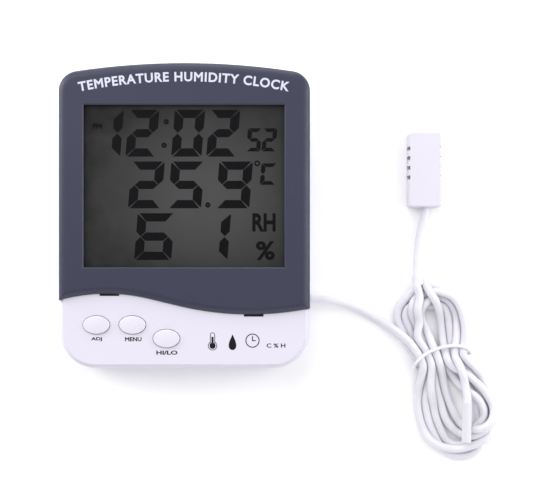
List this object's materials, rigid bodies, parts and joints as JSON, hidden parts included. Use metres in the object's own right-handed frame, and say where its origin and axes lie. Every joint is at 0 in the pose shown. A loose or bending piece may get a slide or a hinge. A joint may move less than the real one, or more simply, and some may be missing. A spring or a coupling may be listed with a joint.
{
  "type": "maximum minimum thermometer",
  "caption": "Digital max-min thermometer and hygrometer clock with a slate bezel, oval buttons, fold-out stand, and wired humidity and temperature probes on a tied lead.",
  "frame": {"origin": "middle of the back face's bounding box, with the lead and its probes left out: the instrument lies on its back", "axes": "+X across the face to the reader's right, +Y up the face, +Z out of the display"},
  "size_m": [0.1909, 0.1721, 0.024],
  "materials": {
    "slate_plastic": "slate blue-grey moulded plastic, soft satin gloss",
    "white_case": "cool white moulded plastic, satin",
    "white_button": "cool white moulded plastic, slightly glossier than the case",
    "polariser": "grey polarising film, satin",
    "lcd_glass": "thin display glass",
    "reflector": "matt silver reflective film",
    "holder_plastic": "white moulded frame",
    "zebra_rubber": "striped elastomer",
    "circuit_board": "green solder-masked laminate",
    "epoxy": "black epoxy",
    "tin_can": "drawn metal can",
    "component_body": "ceramic chip bodies",
    "keypad_rubber": "translucent grey silicone",
    "carbon_rubber": "black conductive rubber",
    "brass": "thin brass disc",
    "cell_jacket": "plain printed steel jacket",
    "nickel_steel": "nickel-plated spring steel",
    "screw_steel": "zinc-plated steel",
    "lead_sheath": "cool white soft PVC sheath, satin",
    "tie_plastic": "white plastic-covered twist tie",
    "probe_case": "cool white moulded plastic",
    "sensor_cage": "pale plastic cage over the sensing plate",
    "probe_cap": "cool white moulded tube"
  },
  "bodies": {
    "instrument": {"battery_cell": "cell_jacket", "board_screws": "screw_steel", "case_screws": "screw_steel", "chip_components": "component_body", "controller_blob": "epoxy", "cord_grommet": "lead_sheath", "cord_tie": "tie_plastic", "front_bezel": "slate_plastic", "front_case": "white_case", "humidity_probe_front": "probe_case", "humidity_probe_rear": "probe_case", "humidity_sensor": "sensor_cage", "keypad_mat": "keypad_rubber", "lcd_front_glass": "lcd_glass", "lcd_front_polariser": "polariser", "lcd_holder": "holder_plastic", "lcd_rear_glass": "lcd_glass", "lcd_reflector": "reflector", "lead_hank": "lead_sheath", "lead_inner_end": "lead_sheath", "lead_splitter": "lead_sheath", "lead_to_hank": "lead_sheath", "lead_to_probe": "lead_sheath", "main_board": "circuit_board", "negative_contact": "nickel_steel", "negative_spring": "nickel_steel", "piezo_buzzer": "brass", "positive_contact": "nickel_steel", "probe_board": "circuit_board", "probe_thermistor": "epoxy", "quartz_crystal": "tin_can", "rear_case": "white_case", "temperature_probe_bead": "epoxy", "temperature_probe_cap": "probe_cap", "temperature_probe_lead_end": "lead_sheath", "zebra_connector": "zebra_rubber"},
    "stand": {"stand": "white_case"},
    "battery_door": {"battery_door": "white_case"},
    "button_up": {"button_up": "white_button", "contact_pill_up": "carbon_rubber"},
    "button_mode": {"button_mode": "white_button", "contact_pill_mode": "carbon_rubber"},
    "button_max_min": {"button_max_min": "white_button", "contact_pill_max_min": "carbon_rubber"}
  },
  "joints": [
    {"name": "press_up", "type": "slide", "parent": "instrument", "child": "button_up", "axis": [0, 0, -1], "range_m": [0, 0.0008], "stiffness_N_per_m": 900, "deforming": ["keypad_mat"]},
    {"name": "press_mode", "type": "slide", "parent": "instrument", "child": "button_mode", "axis": [0, 0, -1], "range_m": [0, 0.0008], "stiffness_N_per_m": 900, "deforming": ["keypad_mat"]},
    {"name": "press_max_min", "type": "slide", "parent": "instrument", "child": "button_max_min", "axis": [0, 0, -1], "range_m": [0, 0.0008], "stiffness_N_per_m": 900, "deforming": ["keypad_mat"]},
    {"name": "stand_hinge", "type": "hinge", "parent": "instrument", "child": "stand", "pos_m": [0, -0.0175, 0.0014], "axis": [1, 0, 0], "range_deg": [0, 65]},
    {"name": "battery_door_hinge", "type": "hinge", "parent": "instrument", "child": "battery_door", "pos_m": [-0.028, 0.004, 0.0002], "axis": [0, 1, 0], "range_deg": [0, 60]}
  ]
}
